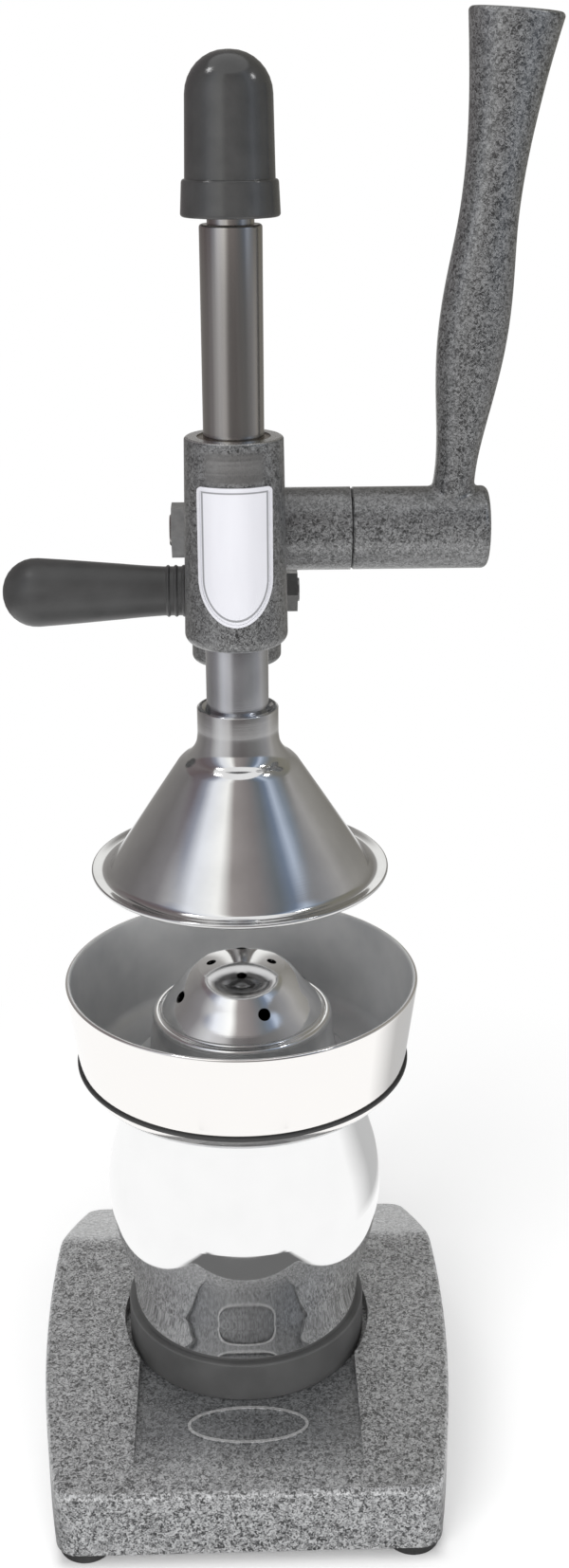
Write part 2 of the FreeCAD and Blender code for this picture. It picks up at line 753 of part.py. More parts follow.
def lever_pin_body(extra):
    """Blind dowel driven into the hub from below, through the shaft."""
    low = SHAFT_Z - HUB_R + 0.6
    high = SHAFT_Z + SHAFT_R + 5.0
    reach = 5.0 if extra else 0.0
    return round_z(LEVER_PIN_R + extra, low - reach, high + extra, LEVER_PIN_X, SHAFT_Y)


def pinion_gear():
    """Spur gear with involute flanks. One tooth points at the ram, into a gap of its rack."""
    base_r = PITCH_R * math.cos(PRESSURE_ANGLE)
    tip_r = PITCH_R + ADDENDUM
    root_r = PITCH_R - DEDENDUM
    half_tooth = (PITCH / 2 - BACKLASH) / (2 * PITCH_R)
    flank_points = 5
    flank_start = base_r + SEAT

    def involute(angle):
        return math.tan(angle) - angle

    def flank_angle(radius):
        return half_tooth + involute(PRESSURE_ANGLE) - involute(math.acos(base_r / radius))

    def place(radius, angle):
        return vec(0, SHAFT_Y - radius * math.cos(angle), SHAFT_Z + radius * math.sin(angle))

    def flank(radii, turn, side):
        curve = Part.BSplineCurve()
        curve.interpolate([place(r, turn + side * flank_angle(r)) for r in radii])
        return curve.toShape()

    def arc(radius, start, end):
        return Part.Arc(place(radius, start), place(radius, (start + end) / 2), place(radius, end)).toShape()

    radii = [flank_start + (tip_r - flank_start) * i / (flank_points - 1) for i in range(flank_points)]
    foot_angle = flank_angle(flank_start)
    tip_angle = flank_angle(tip_r)
    step = 2 * math.pi / TEETH
    edges = []
    for tooth in range(TEETH):
        turn = step * tooth
        rise = turn - foot_angle
        fall = turn + foot_angle
        edges += [
            Part.LineSegment(place(root_r, rise), place(flank_start, rise)).toShape(),
            flank(radii, turn, -1),
            arc(tip_r, turn - tip_angle, turn + tip_angle),
            flank(radii[::-1], turn, 1),
            Part.LineSegment(place(flank_start, fall), place(root_r, fall)).toShape(),
            arc(root_r, fall, rise + step),
        ]
    disc = Part.Face(Part.Wire(edges)).extrude(vec(2 * GEAR_HALF_WIDTH, 0, 0))
    disc = disc.translated(vec(-GEAR_HALF_WIDTH, 0, 0))
    slot = box(-FAR, FAR, SHAFT_Y - KEY_HALF_WIDTH - SEAT, SHAFT_Y + KEY_HALF_WIDTH + SEAT,
               SHAFT_Z, SHAFT_Z + SHAFT_R + KEY_PROUD + SEAT)
    return disc.cut(on_shaft(SHAFT_R + SEAT, -FAR, FAR)).cut(slot)


def pinion_shaft():
    edge = 1.0
    thread_end = SHAFT_NUT_END_X - 1.0
    shaft = turned_x(SHAFT_Y, SHAFT_Z, (thread_end, 0), [
        (thread_end, SHAFT_THREAD_R - edge),
        (thread_end + edge, SHAFT_THREAD_R),
        (SHAFT_WASHER_X, SHAFT_THREAD_R),
        (SHAFT_WASHER_X, SHAFT_R),
        (SHAFT_END_X - edge, SHAFT_R),
        (SHAFT_END_X, SHAFT_R - edge),
        (SHAFT_END_X, 0),
    ])
    return shaft.cut(key_block(SEAT)).cut(lever_pin_body(SEAT))


def shaft_washer():
    washer_r = 14.0
    ring = on_shaft(washer_r, SHAFT_WASHER_X - SHAFT_WASHER_THICK, SHAFT_WASHER_X)
    return ring.cut(on_shaft(SHAFT_THREAD_R + SEAT, -FAR, FAR))


def shaft_nut():
    across_flats = 24.0
    inner_x = SHAFT_WASHER_X - SHAFT_WASHER_THICK
    nut = hexagon_x(across_flats, SHAFT_NUT_END_X, inner_x, SHAFT_Y, SHAFT_Z)
    return nut.cut(on_shaft(SHAFT_THREAD_R + SEAT, -FAR, FAR))


def lever():
    """Cast hub and arm. Each arm section is an ellipse: height, middle x, half width, half depth."""
    sections = [
        (490.0, 103.2, 13.5, 12.5),
        (547.0, 109.2, 13.6, 12.2),
        (578.0, 112.3, 16.4, 12.8),
        (625.0, 117.3, 13.9, 12.2),
        (664.5, 121.8, 14.8, 12.8),
        (688.5, 124.4, 17.5, 14.5),
        (LEVER_TOP, 127.3, 21.7, 17.5),
    ]
    edge = 0.8
    end_edge = 3.0
    top_edge = 2.0
    end_tilt = 1.6
    root_r = 2.5
    wires = []
    for z, x, half_x, half_y in sections:
        drop = end_tilt if z == LEVER_TOP else 0.0
        middle = vec(x, SHAFT_Y, z)
        oval = Part.Ellipse(middle + vec(half_x, 0, -drop), middle + vec(0, half_y, 0), middle)
        wires.append(Part.Wire(oval.toShape()))
    arm = Part.makeLoft(wires, True)
    arm = rounded(arm, top_edge, edges_above(arm, LEVER_TOP - 2 * end_tilt))
    shoulder = (HUB_END_X - end_edge, HUB_R)
    hub = turned_x(SHAFT_Y, SHAFT_Z, (HUB_START_X, 0), [
        (HUB_START_X, HUB_R - edge),
        (HUB_START_X + edge, HUB_R),
        shoulder,
        quarter(shoulder, (HUB_END_X, HUB_R), (HUB_END_X, HUB_R - end_edge)),
        (HUB_END_X, 0),
    ])
    body = hub.fuse(arm).removeSplitter()
    hub_top = SHAFT_Z + HUB_R
    root = [e for e in body.Edges if isinstance(e.Curve, Part.BSplineCurve) and e.CenterOfMass.z < hub_top]
    body = rounded(body, root_r, root)
    return body.cut(on_shaft(SHAFT_R + SEAT, 0, SHAFT_END_X + 1.0)).cut(lever_pin_body(SEAT))


# Pieces that hold the juice
def juice_pot():
    """Spun steel pot: straight foot, flare to a wide belly, narrower mouth."""
    waist_r = 60.8
    foot_edge = 2.0
    belly = [(61.0, 80.0), (62.5, 90.0), (67.9, 112.0), (71.6, 130.0), (72.2, 142.0), (70.8, 158.0),
             (64.4, 180.0), (57.0, POT_RIM)]
    inner = [(r - POT_WALL, z) for r, z in reversed(belly)]
    foot = (POT_FOOT_R - foot_edge, POT_FLOOR)
    return turned_z((0, POT_FLOOR), [
        foot,
        quarter(foot, (POT_FOOT_R, POT_FLOOR), (POT_FOOT_R, POT_FLOOR + foot_edge)),
        (POT_FOOT_R, POT_FOOT_TOP),
        (waist_r, POT_FOOT_TOP),
        belly[0],
        belly[1:],
        inner[0],
        inner[1:],
        (waist_r - POT_WALL, POT_FOOT_TOP + POT_WALL),
        (POT_FOOT_R - POT_WALL, POT_FOOT_TOP + POT_WALL),
        (POT_FOOT_R - POT_WALL, POT_FLOOR + POT_WALL),
        (0, POT_FLOOR + POT_WALL),
    ])


def pot_ring():
    """Rubber ring round the pot's foot, with a lip under it."""
    lip_r = 50.0
    edge = 1.0
    top = POT_FOOT_TOP - 0.2
    low = (POT_RING_R - edge, SEAT_Z)
    high = (POT_RING_R, top - edge)
    return turned_z((lip_r, SEAT_Z), [
        low,
        quarter(low, (POT_RING_R, SEAT_Z), (POT_RING_R, SEAT_Z + edge)),
        high,
        quarter(high, (POT_RING_R, top), (POT_RING_R - edge, top)),
        (POT_FOOT_R + SEAT, top),
        (POT_FOOT_R + SEAT, POT_FLOOR),
        (lip_r, POT_FLOOR),
    ])


def juice_bowl():
    """Polished bowl with a rounded rim, an outlet in its floor and a skirt that enters the pot's mouth."""
    outlet_r = 46.0
    skirt_r = 54.4
    skirt_wall = 2.4
    skirt_bottom = 198.0
    rim_drop = 1.5
    return turned_z((outlet_r, BOWL_UNDERSIDE), [
        (skirt_r - skirt_wall, BOWL_UNDERSIDE),
        (skirt_r - skirt_wall, skirt_bottom),
        (skirt_r, skirt_bottom),
        (skirt_r, BOWL_UNDERSIDE),
        (70.0, BOWL_UNDERSIDE),
        ((78.8, 207.9), (BOWL_FOOT_R, BAND_BOTTOM)),
        (BOWL_FOOT_R, BAND_TOP),
        (BOWL_RIM_R, BOWL_RIM - rim_drop),
        ((BOWL_RIM_R - BOWL_WALL / 2, BOWL_RIM), (BOWL_RIM_R - BOWL_WALL, BOWL_RIM - rim_drop)),
        (BOWL_FOOT_R - BOWL_WALL, BAND_TOP + 3.0),
        ((77.4, 211.0), (68.0, BOWL_FLOOR)),
        (outlet_r, BOWL_FLOOR),
    ])


def bowl_band():
    """Thin rubber band round the bowl's lower edge."""
    gap = 0.2
    bulge = 1.2
    inner = BOWL_FOOT_R + SEAT
    return turned_z((inner, BAND_BOTTOM + gap), [
        ((inner + bulge, (BAND_BOTTOM + BAND_TOP) / 2), (inner, BAND_TOP - gap)),
    ])


def strainer():
    """Pressed dome with a low round crown, drain holes and a bead, on a skirt that stands in the bowl."""
    crown_r = 22.0
    crown_edge = 266.0
    shoulder = [(27.6, 261.6), (33.0, 254.4), (38.0, 248.2), (41.2, 243.4)]
    foot_top = BOWL_FLOOR + 2.2
    inner_shoulder = [(r - STRAINER_WALL, z - 0.5) for r, z in reversed(shoulder)]
    inner_crown = (crown_r - 0.5, crown_edge - STRAINER_WALL)
    shell = turned_z((0, STRAINER_TOP - STRAINER_WALL), [
        (0, STRAINER_TOP),
        (dome(crown_r, crown_edge, STRAINER_TOP)[0], (crown_r, crown_edge)),
        shoulder,
        ((41.7, 242.2), (42.6, 241.8)),
        ((44.9, 242.0), (46.2, 239.4)),
        (48.4, 217.0),
        ((49.7, 212.4), (54.0, foot_top)),
        (56.8, foot_top),
        quarter((56.8, foot_top), (STRAINER_R, foot_top), (STRAINER_R, foot_top - 1.2)),
        (STRAINER_R, BOWL_FLOOR),
        (47.4, BOWL_FLOOR),
        (46.8, 217.0),
        (44.8, 237.4),
        inner_shoulder[0],
        inner_shoulder[1:] + [inner_crown],
        dome(inner_crown[0], inner_crown[1], STRAINER_TOP - STRAINER_WALL),
    ])
    # Rows of holes: radius and height of the row, count, hole radius, lean from upright, first angle
    rows = [(15.4, 268.2, 4, 2.5, 15.0, 0.0), (33.0, 254.4, 4, 3.2, 51.0, 19.5)]
    depth = 10.0
    for radius, z, count, hole_r, lean, first in rows:
        out = math.sin(math.radians(lean))
        up = math.cos(math.radians(lean))
        for i in range(count):
            turn = math.radians(first - 90 + 360 * i / count)
            axis = vec(out * math.cos(turn), out * math.sin(turn), up)
            middle = vec(radius * math.cos(turn), radius * math.sin(turn), z)
            shell = shell.cut(Part.makeCylinder(hole_r, depth, middle - axis * (depth / 2), axis))
    return shell


PIECES = {
    "base_casting": base_casting(),
    "rubber_feet": rubber_feet(),
    "foot_screws": foot_screws(),
    "rear_post": rear_post(),
    "post_washer": post_washer(),
    "post_nut": post_nut(),
    "head_casting": head_casting(),
    "upper_guide_bush": guide_bush(HEAD_TOP - GUIDE_BUSH_LENGTH - BUSH_GAP),
    "lower_guide_bush": guide_bush(HEAD_BOTTOM + BUSH_GAP),
    "gear_cover": gear_cover(),
    "cover_ring": cover_ring(),
    "shaft_bush_left": shaft_bush_left(),
    "shaft_bush_right": shaft_bush_right(),
    "clamp_screws": clamp_screws(),
    "clamp_nuts": clamp_nuts(),
    "badge_plate": badge_plate(),
    "grip": grip(),
    "grip_stud": grip_stud(),
    "grip_washer": grip_washer(),
    "grip_nut": grip_nut(),
    "ram": ram(),
    "ram_cap": ram_cap(),
    "stop_sleeve": stop_sleeve(),
    "press_cone": press_cone(),
    "cone_washer": cone_washer(),
    "cone_screw": cone_screw(),
    "pinion_gear": pinion_gear(),
    "gear_key": key_block(0.0),
    "pinion_shaft": pinion_shaft(),
    "shaft_washer": shaft_washer(),
    "shaft_nut": shaft_nut(),
    "lever_pin": lever_pin_body(0.0),
    "lever": lever(),
    "juice_pot": juice_pot(),
    "pot_ring": pot_ring(),
    "juice_bowl": juice_bowl(),
    "bowl_band": bowl_band(),
    "strainer": strainer(),
}

os.makedirs("parts", exist_ok=True)
whole = Part.makeCompound(list(PIECES.values())).optimalBoundingBox(False, False)
to_origin = vec(-(whole.XMin + whole.XMax) / 2, -(whole.YMin + whole.YMax) / 2, 0)
for name, shape in PIECES.items():
    moved = shape.translated(to_origin)
    for solid in moved.Solids:
        if not solid.isValid():
            print("not valid:", name)
    print(name, len(moved.Solids), "solids", round(moved.Volume), "mm3")
    moved.exportStep("parts/" + name + ".step")
print("origin shift", to_origin, "size", whole.XLength, whole.YLength, whole.ZLength)
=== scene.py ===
import math

import bmesh
import bpy
from mathutils import Matrix, Vector


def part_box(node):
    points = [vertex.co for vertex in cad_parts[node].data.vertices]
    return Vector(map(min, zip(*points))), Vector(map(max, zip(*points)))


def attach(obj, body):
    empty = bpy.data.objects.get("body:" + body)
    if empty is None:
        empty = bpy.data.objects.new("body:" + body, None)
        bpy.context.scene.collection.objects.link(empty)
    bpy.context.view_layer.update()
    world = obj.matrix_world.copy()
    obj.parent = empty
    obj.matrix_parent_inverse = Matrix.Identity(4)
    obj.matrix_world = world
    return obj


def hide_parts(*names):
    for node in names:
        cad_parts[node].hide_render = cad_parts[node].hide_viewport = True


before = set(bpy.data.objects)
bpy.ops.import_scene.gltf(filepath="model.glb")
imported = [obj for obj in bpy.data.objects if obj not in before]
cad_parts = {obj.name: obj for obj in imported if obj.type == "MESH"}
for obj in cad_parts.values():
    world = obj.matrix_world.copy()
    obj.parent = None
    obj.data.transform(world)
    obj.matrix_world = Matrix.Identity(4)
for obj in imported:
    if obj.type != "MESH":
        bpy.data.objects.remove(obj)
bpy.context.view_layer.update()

# Base: a hollow iron casting with a round seat for the pot and a shallow channel in front of it, sprayed
# with hammertone enamel, whose fine silvery worms stand in a darker grey. A plain oval bead is cast in the
# channel. Painted shade darkens the channel's floor, and a painted highlight lightens the bead's top.
MM = 0.001
ram_low, ram_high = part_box("ram")
# The ram's axis at table level. Only the ram's back is cut, so its radius comes from its width.
AXIS = Vector(((ram_low.x + ram_high.x) / 2, ram_low.y + (ram_high.x - ram_low.x) / 2, 0))


class Value:
    """One output socket of a material. Arithmetic on it adds Math nodes to the same material."""

    def __init__(self, tree, socket):
        self.tree = tree
        self.socket = socket

    def node(self, kind, settings, inputs, output=0):
        """Adds a node: its settings first, then its sockets, each a number, a colour or another Value."""
        made = self.tree.nodes.new(kind)
        for name, setting in settings.items():
            if name == "stops":
                ramp = made.color_ramp
                for place, _ in setting[2:]:
                    ramp.elements.new(place)
                for element, (place, colour) in zip(ramp.elements, setting):
                    element.position = place
                    element.color = (*colour, 1)
            else:
                setattr(made, name, setting)
        for name, given in inputs.items():
            if isinstance(given, Value):
                self.tree.links.new(given.socket, made.inputs[name])
            else:
                made.inputs[name].default_value = given
        return Value(self.tree, made.outputs[output])

    def math(self, operation, first, second=0.0):
        return self.node("ShaderNodeMath", {"operation": operation}, {0: first, 1: second})

    def __add__(self, other):
        return self.math("ADD", self, other)

    def __sub__(self, other):
        return self.math("SUBTRACT", self, other)

    def __rsub__(self, other):
        return self.math("SUBTRACT", other, self)

    def __mul__(self, other):
        return self.math("MULTIPLY", self, other)

    def __truediv__(self, other):
        return self.math("DIVIDE", self, other)

    def __abs__(self):
        return self.math("ABSOLUTE", self)

    __radd__ = __add__
    __rmul__ = __mul__

    def hypot(self, other):
        return self.math("SQRT", self * self + other * other)

    def least(self, other):
        return self.math("MINIMUM", self, other)

    def most(self, other):
        return self.math("MAXIMUM", self, other)

    def part(self, axis):
        """One coordinate of a vector, from the ram's axis."""
        return self.node("ShaderNodeSeparateXYZ", {}, {0: self}, axis) - AXIS[axis]

    def clouds(self, scale, detail=2.0, stretch=(1, 1, 1), swirl=0.0):
        """Soft noise between 0 and 1, with this many lumps to a metre."""
        place = self.node("ShaderNodeMapping", {}, {0: self, 3: stretch})
        numbers = {"Vector": place, "Scale": scale, "Detail": detail, "Distortion": swirl}
        return place.node("ShaderNodeTexNoise", {}, numbers)

    def blend(self, low, high):
        """Colour that goes from low to high as this value goes from 0 to 1."""
        return self.node("ShaderNodeMix", {"data_type": "RGBA"}, {0: self, 6: low, 7: high}, 2)

    def between(self, low, high):
        """This value stretched so that low gives 0 and high gives 1, and kept between them."""
        return self.node("ShaderNodeMapRange", {}, {0: self, 1: low, 2: high})


def finish_of(name, **fixed):
    """New material with one shader; gives the material and its Object coordinates as a Value."""
    material = bpy.data.materials.new(name)
    material.use_nodes = True
    shader = material.node_tree.nodes["Principled BSDF"]
    for socket, number in fixed.items():
        shader.inputs[socket.replace("_", " ")].default_value = number
    coords = material.node_tree.nodes.new("ShaderNodeTexCoord").outputs["Object"]
    return material, Value(material.node_tree, coords)


def join(material, height=None, depth=0.0, **varying):
    """Feeds what varies over the surface to the shader, and a height in metres to its normal."""
    tree = material.node_tree
    shader = tree.nodes["Principled BSDF"]
    for socket, value in varying.items():
        tree.links.new(value.socket, shader.inputs[socket.replace("_", " ")])
    if height is not None:
        bump = height.node("ShaderNodeBump", {}, {"Height": height, "Distance": depth, "Strength": 1.0})
        tree.links.new(bump.socket, shader.inputs["Normal"])


def dress(material, *nodes):
    """Gives nodes of the frame their finish."""
    for name in nodes:
        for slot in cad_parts[name].material_slots:
            slot.material = material


def grey(level, warm=0.0):
    """Opaque grey, a little warmer or cooler than neutral."""
    return (level * (1 + warm), level, level * (1 - warm), 1)


ENAMEL_METAL = 0.3
ENAMEL_ROUGH = 0.52
LUMP_SHINE = 0.14
LUMP_RISE = 0.13 * MM
LUMP_EDGES = (0.38, 0.62)
WORM_SHARE = 0.8
PATCHES = 240


def hammertone(name, lumps):
    """Enamel with this many lumps to a metre; gives the material, its coordinates and the lumps' mask."""
    material, place = finish_of(name, Metallic=ENAMEL_METAL, Coat_Weight=0.8, Coat_Roughness=0.3,
                                Coat_IOR=2.0)
    worms = place.clouds(lumps, 1.5, swirl=1.2)
    patches = place.clouds(PATCHES)
    return material, place, (worms * WORM_SHARE + patches * (1 - WORM_SHARE)).between(*LUMP_EDGES)


BASE_LUMPS = 640
BASE_DARK = grey(0.034, -0.02)
BASE_SILVER = grey(0.45, -0.01)
# Painted shade: darker enamel tones for the channel floor in front of the pot.
CHANNEL_SHADE_DARK = grey(0.05, -0.04)
CHANNEL_SHADE_SILVER = grey(0.15, -0.04)
CHANNEL_SHADE_SHARE = 0.72
# Painted highlight: a lighter grey for the top of the oval bead.
BEAD_HIGHLIGHT_GREY = grey(0.5)
BEAD_HIGHLIGHT_SHARE = 0.6
EDGE_BLUR = 0.2 * MM
CHANNEL_HALF = 57.5 * MM
CHANNEL_FLOOR = 45.0 * MM
CHANNEL_FRONT = -118.0 * MM
CHANNEL_FADE = 28.0 * MM
OVAL_MIDDLE = -82.5 * MM
OVAL_HALF_X = 34.0 * MM
OVAL_HALF_Y = 16.0 * MM
OVAL_BLUR = 1.0 * MM
base_enamel, base_place, base_lump = hammertone("base_hammertone", BASE_LUMPS)
base_x = abs(base_place.part(0))
base_y = base_place.part(1)
base_z = base_place.part(2)
# Painted shade on the channel floor, fading out towards its front.
on_floor = abs(base_z - CHANNEL_FLOOR).between(2 * EDGE_BLUR, EDGE_BLUR)
in_channel = base_x.between(CHANNEL_HALF + EDGE_BLUR, CHANNEL_HALF - EDGE_BLUR)
channel_shade = on_floor * in_channel * base_y.between(CHANNEL_FRONT, CHANNEL_FRONT + CHANNEL_FADE)
near_oval = base_x.between(OVAL_HALF_X + OVAL_BLUR, OVAL_HALF_X)
near_oval = near_oval * abs(base_y - OVAL_MIDDLE).between(OVAL_HALF_Y + OVAL_BLUR, OVAL_HALF_Y)
# Painted highlight on the bead's top, just above the channel floor.
bead_highlight = near_oval * base_z.between(CHANNEL_FLOOR + 2 * EDGE_BLUR, CHANNEL_FLOOR + 4 * EDGE_BLUR)
base_tone = base_lump.blend(BASE_DARK, BASE_SILVER)
base_tone = (channel_shade * CHANNEL_SHADE_SHARE).blend(base_tone, base_lump.blend(CHANNEL_SHADE_DARK, CHANNEL_SHADE_SILVER))
base_tone = (bead_highlight * BEAD_HIGHLIGHT_SHARE).blend(base_tone, BEAD_HIGHLIGHT_GREY)
join(base_enamel, base_lump, LUMP_RISE, Base_Color=base_tone,
     Roughness=ENAMEL_ROUGH - LUMP_SHINE * base_lump)
dress(base_enamel, "base_casting")


# Feet: four moulded black rubber pads at the base's corners. A plated pan head screw in each one's pocket
# holds it up into the casting.
def rubber(name, level, roughness):
    """Black rubber or plastic with a breath of dust and a fine moulded grain."""
    material, place = finish_of(name)
    dust = place.clouds(70, 4.0).between(0.35, 0.75)
    grain = place.clouds(2600)
    tone = dust.blend(grey(level), grey(level * 1.2 + 0.006))
    join(material, grain, 0.02 * MM, Base_Color=tone, Roughness=roughness + 0.1 * dust)
    return material


def darker(colour, share):
    """The colour with this share of its light."""
    return tuple(share * part for part in colour[:3]) + (1,)


def plated(name, colour, roughness):
    """Plated or bare small parts, dulled in patches by handling."""
    material, place = finish_of(name, Metallic=1.0)
    stain = place.clouds(180, 3.0).between(0.3, 0.75)
    marks = place.clouds(1500)
    tone = stain.blend(colour, darker(colour, 0.72))
    join(material, marks, 0.02 * MM, Base_Color=tone, Roughness=roughness + 0.14 * stain)
    return material


foot_rubber = rubber("foot_rubber", level=0.022, roughness=0.55)
dress(foot_rubber, "rubber_feet")
zinc = plated("zinc_plate", grey(0.5), roughness=0.3)
dress(zinc, "foot_screws")


# Post: a ground steel bar behind the pot that carries the head. It is shouldered in the base and drawn
# down from below by a washer and nut.
def ground_steel(name, colour, roughness):
    """Bar steel with fine grinding lines round it and faint streaks along it."""
    material, place = finish_of(name, Metallic=1.0)
    lines = place.clouds(90, 3.0, stretch=(1, 1, 60))
    streaks = place.clouds(240, stretch=(1, 1, 0.02)).between(0.3, 0.7)
    tone = streaks.blend(darker(colour, 0.78), colour)
    join(material, lines, 0.008 * MM, Base_Color=tone, Roughness=roughness + 0.08 * lines)
    return material


post_steel = ground_steel("post_steel", grey(0.55, 0.02), roughness=0.2)
dress(post_steel, "rear_post")
dress(zinc, "post_washer", "post_nut")

# Head: an aluminium casting in the same enamel. It guides the ram in two bushes, houses the gear and is
# clamped on the post. Its top face is turned bare, and the front above the badge is rubbed smooth.
CASTING_LUMPS = 800
HEAD_DARK = grey(0.01, -0.02)
HEAD_SILVER = grey(0.165, -0.01)
BARE_GREY = grey(0.48)
HEAD_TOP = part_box("head_casting")[1].z
BARREL_R = 23.5 * MM
RUBBED_HALF = 15.0 * MM
RUBBED_LOW = HEAD_TOP - 19 * MM
RUBBED_HIGH = HEAD_TOP - 3 * MM
RUBBED_BACK = -5 * MM
RUBBED_FADE = 2 * MM
RUBBED_SHARE = 0.85
head_enamel, head_place, head_lump = hammertone("head_hammertone", CASTING_LUMPS)
head_x = head_place.part(0)
head_y = head_place.part(1)
head_z = head_place.part(2)
bare = head_z.between(HEAD_TOP - 0.5 * MM, HEAD_TOP - 0.2 * MM)
bare = bare * head_x.hypot(head_y).between(BARREL_R + MM, BARREL_R)
rubbed = abs(head_x).between(RUBBED_HALF, RUBBED_HALF - 1.5 * RUBBED_FADE)
rubbed = rubbed * head_y.between(0, RUBBED_BACK)
rubbed = rubbed * head_z.between(RUBBED_LOW, RUBBED_LOW + RUBBED_FADE)
rubbed = rubbed * head_z.between(RUBBED_HIGH, RUBBED_HIGH - RUBBED_FADE)
stripes = head_place.clouds(40, stretch=(0.3, 0.3, 9)).between(0.35, 0.65)
head_tone = head_lump.blend(HEAD_DARK, HEAD_SILVER)
head_tone = (rubbed * RUBBED_SHARE).blend(head_tone, stripes.blend(grey(0.07, 0.03), grey(0.15, 0.02)))
head_tone = bare.blend(head_tone, BARE_GREY)
head_rough = (ENAMEL_ROUGH - LUMP_SHINE * head_lump) * (1 - bare * 0.4)
join(head_enamel, head_lump * (1 - bare) * (1 - rubbed * 0.7), LUMP_RISE, Base_Color=head_tone,
     Roughness=head_rough, Metallic=ENAMEL_METAL + (1 - ENAMEL_METAL) * bare)
dress(head_enamel, "head_casting", "gear_cover")
bush_bronze = plated("oiled_bronze", (0.33, 0.29, 0.25, 1), roughness=0.3)
dress(bush_bronze, "upper_guide_bush", "lower_guide_bush", "shaft_bush_left", "shaft_bush_right")
dark_steel = plated("blackened_steel", grey(0.34), roughness=0.34)
dress(dark_steel, "clamp_screws", "clamp_nuts", "cover_ring")

# Badge: a blank pressed plate bent round the head, silver white, with a bright rim and a thin dark line
# inside it. Its lower end is half an ellipse.
BADGE_SHADE = (0.5, 0.5, 0.535, 1)
BADGE_SILVER = (0.62, 0.62, 0.655, 1)
BADGE_HALF = 17.2 * MM
BADGE_TOP = 516.5 * MM
BADGE_WAIST = 474.3 * MM
BADGE_FOOT = 452.0 * MM
WAIST_BLUR = 0.01 * MM
LINE_GREY = grey(0.12, -0.03)
LINE_SHARE = 0.75
LINE_INSET = 2.4 * MM
LINE_HALF = 0.3 * MM
LINE_BLUR = 0.2 * MM
badge_silver, badge_place = finish_of("badge_silver", Metallic=0.15, Roughness=0.34)
badge_x = abs(badge_place.part(0))
badge_z = badge_place.part(2)
from_side = (BADGE_HALF - badge_x).least(BADGE_TOP - badge_z)
foot_z = (badge_z - BADGE_WAIST) * (BADGE_HALF / (BADGE_WAIST - BADGE_FOOT))
from_foot = BADGE_HALF - badge_x.hypot(foot_z)
in_foot = badge_z.between(BADGE_WAIST + WAIST_BLUR, BADGE_WAIST - WAIST_BLUR)
inset = from_side * (1 - in_foot) + from_foot * in_foot
border = abs(inset - LINE_INSET).between(LINE_HALF + LINE_BLUR, LINE_HALF)
badge_tone = badge_place.clouds(70, stretch=(1, 1, 0.2)).blend(BADGE_SHADE, BADGE_SILVER)
badge_tone = (border * LINE_SHARE).blend(badge_tone, LINE_GREY)
join(badge_silver, badge_place.clouds(900, stretch=(1, 1, 0.05)), 0.008 * MM, Base_Color=badge_tone)
dress(badge_silver, "badge_plate")

# Grip: a black moulded handle that swells to a ball end, with three ribs at its root. It is screwed on a
# stud that a washer and nut hold in the head.
LATHE_STEPS = 144
LATHE_PITCH = 3.0 * MM
CORNER_STEPS = 8
SHARP_ANGLE = math.radians(30)
WELD = 0.01 * MM


def turned(name, outline, origin, along=Vector((0, 0, 1))):
    """Lathe-turned mesh: an outline of (radius, height) points in millimetres, spun about a line. A third
    number in a point is the length by which that corner is rounded."""
    across = along.orthogonal().normalized()
    shape = bmesh.new()
    corners = [shape.verts.new(origin + (across * point[0] + along * point[1]) * MM) for point in outline]
    for here, there in zip(corners, corners[1:]):
        shape.edges.new((here, there))
    if outline[0][0] > 0:
        shape.edges.new((corners[-1], corners[0]))
    for corner, point in zip(corners, outline):
        if len(point) == 3:
            bmesh.ops.bevel(shape, geom=[corner], offset=point[2] * MM, offset_type="OFFSET",
                            segments=CORNER_STEPS, profile=0.5, affect="VERTICES", material=-1)
    for edge in list(shape.edges):
        cuts = int(edge.calc_length() / LATHE_PITCH)
        if cuts:
            bmesh.ops.subdivide_edges(shape, edges=[edge], cuts=cuts)
    bmesh.ops.spin(shape, geom=shape.verts[:] + shape.edges[:], cent=origin, axis=along,
                   angle=math.tau, steps=LATHE_STEPS, use_merge=True)
    bmesh.ops.remove_doubles(shape, verts=shape.verts, dist=WELD)
    bmesh.ops.recalc_face_normals(shape, faces=shape.faces)
    for edge in shape.edges:
        edge.smooth = edge.calc_face_angle(0) < SHARP_ANGLE
    for face in shape.faces:
        face.smooth = True
    mesh = bpy.data.meshes.new(name)
    shape.to_mesh(mesh)
    shape.free()
    piece = bpy.data.objects.new(name, mesh)
    bpy.context.scene.collection.objects.link(piece)
    return piece


def fit(piece, material, body, node):
    """Gives a turned piece its finish and puts it in the place of a node of the frame."""
    piece.data.materials.append(material)
    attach(piece, body)
    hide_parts(node)


GRIP_BEHIND = 75.0 * MM
GRIP_HEIGHT = 443.5 * MM
GRIP_LINE = Vector((AXIS.x, AXIS.y + GRIP_BEHIND, GRIP_HEIGHT))
LEFTWARD = Vector((-1, 0, 0))
GRIP_ROOT = 24
NECK_R = 12.6
STUD_R = 6.02
RIB_R = 13.6
RIB_HALF = 1.1
RIB_PITCH = 4.0
grip_outline = [(0, 119.4), (18.85, 119.4, 18.6), (15.6, 73, 14), (13.1, 46, 8), (NECK_R, 37)]
for rib in (2, 1, 0):
    rib_middle = GRIP_ROOT + RIB_PITCH * (rib + 0.65)
    grip_outline.append((NECK_R, rib_middle + RIB_HALF))
    grip_outline.append((RIB_R, rib_middle, 0.7))
    grip_outline.append((NECK_R, rib_middle - RIB_HALF))
grip_outline += [(NECK_R, GRIP_ROOT, 0.4), (STUD_R, GRIP_ROOT), (STUD_R, 76), (0, 76)]
grip_black = rubber("grip_plastic", level=0.034, roughness=0.34)
